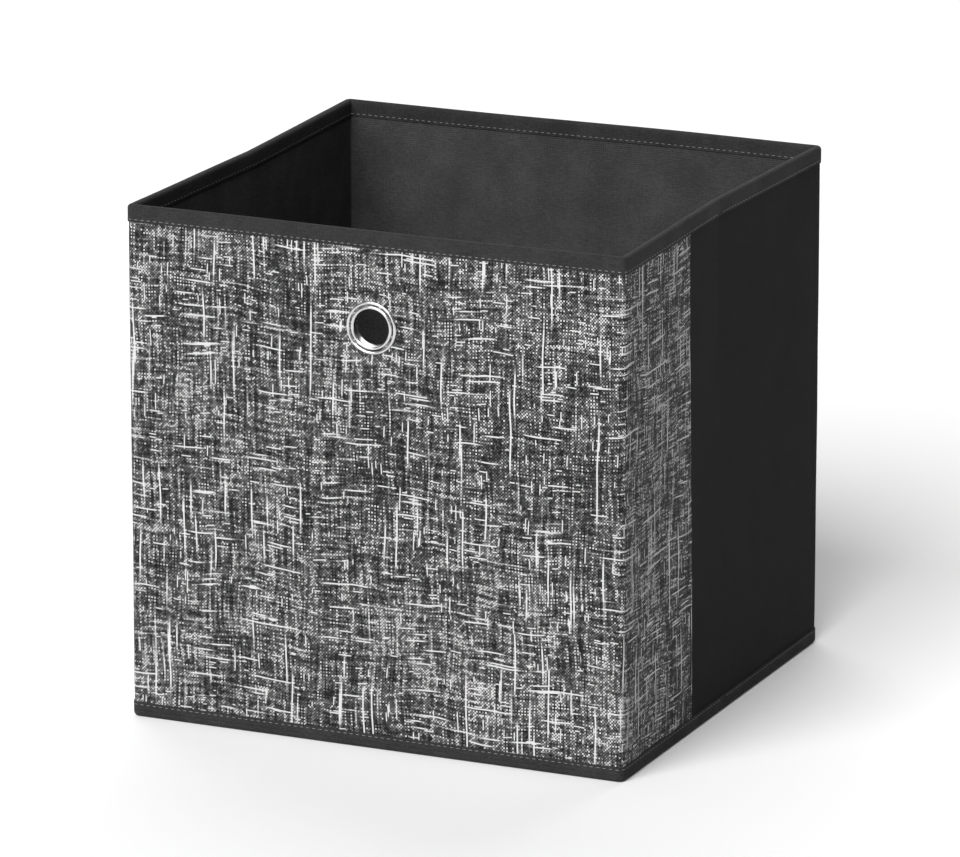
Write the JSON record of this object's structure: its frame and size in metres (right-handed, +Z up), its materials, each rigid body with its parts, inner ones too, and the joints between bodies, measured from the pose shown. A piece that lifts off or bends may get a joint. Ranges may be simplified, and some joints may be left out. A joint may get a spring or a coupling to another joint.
{
  "type": "fabric storage bin",
  "caption": "Open cube bin of board-stiffened fabric with a printed front, bound edges, a metal eyelet for pulling it out, creased side walls that fold flat and a loose base board.",
  "frame": {"origin": "on the floor under the middle of the bin", "axes": "+Z up, front wall with the eyelet towards -Y, width along X, depth along Y"},
  "size_m": [0.3, 0.2911, 0.296],
  "materials": {
    "printed_fabric": "woven-look print, matt",
    "plain_fabric": "plain non-woven, matt",
    "lining_fabric": "plain non-woven, matt",
    "binding_fabric": "folded non-woven strip, matt",
    "stiffener_board": "pressed paper board, raw",
    "polished_eyelet": "polished nickel plate"
  },
  "bodies": {
    "back": {"back_skin": "plain_fabric", "back_board": "stiffener_board", "back_lining": "lining_fabric", "back_top_binding": "binding_fabric", "back_bottom_binding": "binding_fabric", "bottom_fabric": "plain_fabric", "front_bottom_hem": "binding_fabric", "back_bottom_hem": "binding_fabric", "left_bottom_hem": "binding_fabric", "right_bottom_hem": "binding_fabric"},
    "left_rear": {"left_rear_skin": "plain_fabric", "left_rear_board": "stiffener_board", "left_rear_lining": "lining_fabric", "left_rear_top_binding": "binding_fabric", "left_rear_bottom_binding": "binding_fabric"},
    "left_front": {"left_front_skin": "plain_fabric", "left_front_print_wrap": "printed_fabric", "left_front_board": "stiffener_board", "left_front_lining": "lining_fabric", "left_front_top_binding": "binding_fabric", "left_front_bottom_binding": "binding_fabric"},
    "front": {"front_skin": "printed_fabric", "front_board": "stiffener_board", "front_lining": "lining_fabric", "front_top_binding": "binding_fabric", "front_bottom_binding": "binding_fabric", "eyelet_ring": "polished_eyelet", "eyelet_washer": "polished_eyelet"},
    "right_rear": {"right_rear_skin": "plain_fabric", "right_rear_board": "stiffener_board", "right_rear_lining": "lining_fabric", "right_rear_top_binding": "binding_fabric", "right_rear_bottom_binding": "binding_fabric"},
    "right_front": {"right_front_skin": "plain_fabric", "right_front_print_wrap": "printed_fabric", "right_front_board": "stiffener_board", "right_front_lining": "lining_fabric", "right_front_top_binding": "binding_fabric", "right_front_bottom_binding": "binding_fabric"},
    "base": {"base_board": "stiffener_board", "base_board_cover": "lining_fabric"}
  },
  "joints": [
    {"name": "fold", "type": "hinge", "parent": "back", "child": "left_rear", "pos_m": [-0.145, 0.14, 0], "axis": [0, 0, 1], "range_deg": [0, 88], "deforming": ["bottom_fabric", "front_bottom_hem", "left_bottom_hem", "right_bottom_hem"]},
    {"name": "left_crease", "type": "hinge", "parent": "left_rear", "child": "left_front", "pos_m": [-0.15, 0, 0], "axis": [0, 0, 1], "range_deg": [-176, 0]},
    {"name": "front_left_corner", "type": "hinge", "parent": "left_front", "child": "front", "pos_m": [-0.145, -0.14, 0], "axis": [0, 0, 1], "range_deg": [0, 88]},
    {"name": "back_right_corner", "type": "hinge", "parent": "back", "child": "right_rear", "pos_m": [0.145, 0.14, 0], "axis": [0, 0, 1], "range_deg": [-88, 0]},
    {"name": "front_right_corner", "type": "hinge", "parent": "front", "child": "right_front", "pos_m": [0.145, -0.14, 0], "axis": [0, 0, 1], "range_deg": [0, 88]},
    {"name": "base_lift", "type": "slide", "parent": "back", "child": "base", "axis": [0, 0, 1], "range_m": [0, 0.32]}
  ],
  "couplings": [
    {"joint": "left_crease", "follows": "fold", "ratio": -2},
    {"joint": "front_left_corner", "follows": "fold", "ratio": 1},
    {"joint": "back_right_corner", "follows": "fold", "ratio": -1},
    {"joint": "front_right_corner", "follows": "fold", "ratio": 1}
  ]
}
